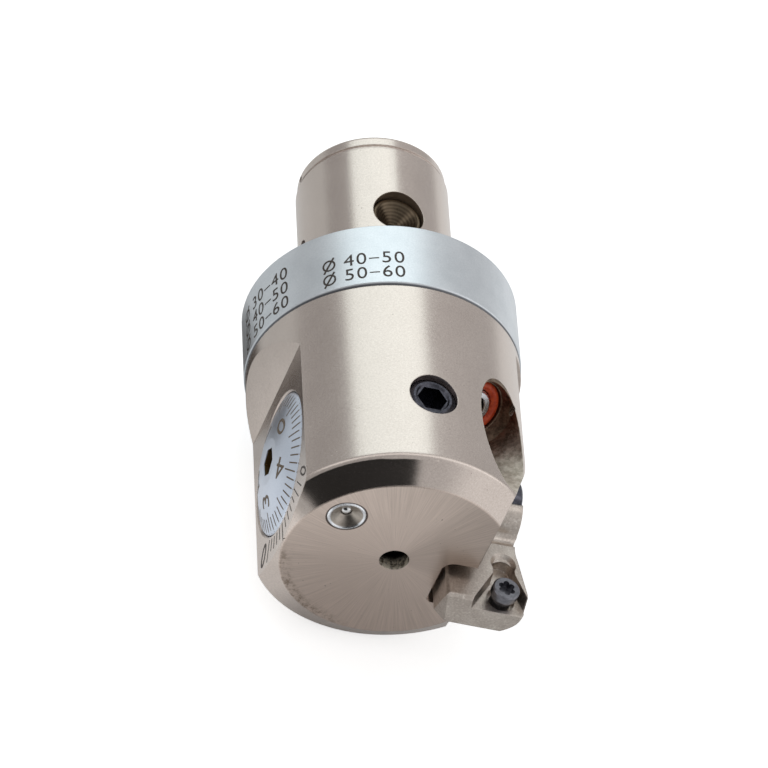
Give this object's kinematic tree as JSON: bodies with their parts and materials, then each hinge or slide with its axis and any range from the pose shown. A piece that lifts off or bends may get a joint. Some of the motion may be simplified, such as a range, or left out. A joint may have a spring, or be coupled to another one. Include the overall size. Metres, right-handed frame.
{
  "type": "micrometer boring head",
  "caption": "Micrometer boring head: a round body with a cylindrical shank, a dial and screw that move a tool carrier across it, and a bolted insert holder.",
  "frame": {"origin": "on the turning axis, in the flange face that meets the bar or adapter above", "axes": "+Z along the turning axis from the cutting end to the shank; +X the way the tool carrier moves out, with the dial facing -X; -Y the side with the clamping screw"},
  "size_m": [0.0318, 0.0316, 0.0606],
  "materials": {
    "head_steel": "satin nickel plated steel, turned and ground",
    "ring_steel": "fine turned satin nickel",
    "dial_chrome": "matt chrome, fine spun lines",
    "spindle_steel": "ground steel",
    "bearing_steel": "hardened and ground",
    "spring_steel": "drawn wire",
    "seal_rubber": "smooth moulded rubber",
    "black_seal": "smooth moulded rubber",
    "screw_steel": "dark heat-treated steel",
    "brass_pad": "plain turned",
    "holder_steel": "grainy satin nickel",
    "oiler_steel": "bright",
    "pin_steel": "hardened and ground"
  },
  "bodies": {
    "head": {"head_body": "head_steel", "marking_ring": "ring_steel", "spindle_nut": "screw_steel", "thrust_plate": "bearing_steel", "thrust_washer": "bearing_steel", "dial_o_ring": "black_seal", "guide_pin": "pin_steel", "oiler_body": "oiler_steel", "oiler_spring": "spring_steel", "pin_screw": "screw_steel", "coolant_nozzle": "bearing_steel", "nozzle_o_ring": "seal_rubber", "preload_spring": "spring_steel"},
    "spindle": {"dial": "dial_chrome", "dial_spindle": "spindle_steel"},
    "carrier": {"tool_carrier": "bearing_steel", "carrier_o_ring": "black_seal", "insert_holder": "holder_steel", "holder_screw": "screw_steel", "insert_screw": "screw_steel"},
    "clamp_pad": {"clamp_pad": "brass_pad"},
    "clamp_screw": {"clamp_screw": "screw_steel"},
    "oiler_ball": {"oiler_ball": "oiler_steel"},
    "driver_pin": {"driver_pin": "pin_steel"}
  },
  "joints": [
    {"name": "dial_turn", "type": "hinge", "parent": "head", "child": "spindle", "pos_m": [-0.0129, 0, -0.0249], "axis": [1, 0, 0], "range_deg": [0, 7200]},
    {"name": "carrier_slide", "type": "slide", "parent": "head", "child": "carrier", "axis": [1, 0, 0], "range_m": [0, 0.005], "deforming": ["preload_spring"]},
    {"name": "clamp_pad_slide", "type": "slide", "parent": "head", "child": "clamp_pad", "axis": [0, -1, 0], "range_m": [0, 0.00075]},
    {"name": "clamp_turn", "type": "hinge", "parent": "clamp_pad", "child": "clamp_screw", "pos_m": [0, -0.0152, -0.0249], "axis": [0, -1, 0], "range_deg": [0, 360]},
    {"name": "oiler_ball_press", "type": "slide", "parent": "head", "child": "oiler_ball", "axis": [0, 0, 1], "range_m": [0, 0.0004], "stiffness_N_per_m": 60, "springref_m": -0.0005, "deforming": ["oiler_spring"]},
    {"name": "driver_pin_float", "type": "slide", "parent": "head", "child": "driver_pin", "axis": [0, 1, 0], "range_m": [-0.0004, 0.0004]}
  ],
  "couplings": [
    {"joint": "dial_turn", "follows": "carrier_slide", "rad_per_m": 25133},
    {"joint": "clamp_turn", "follows": "clamp_pad_slide", "rad_per_m": 8377.5}
  ]
}
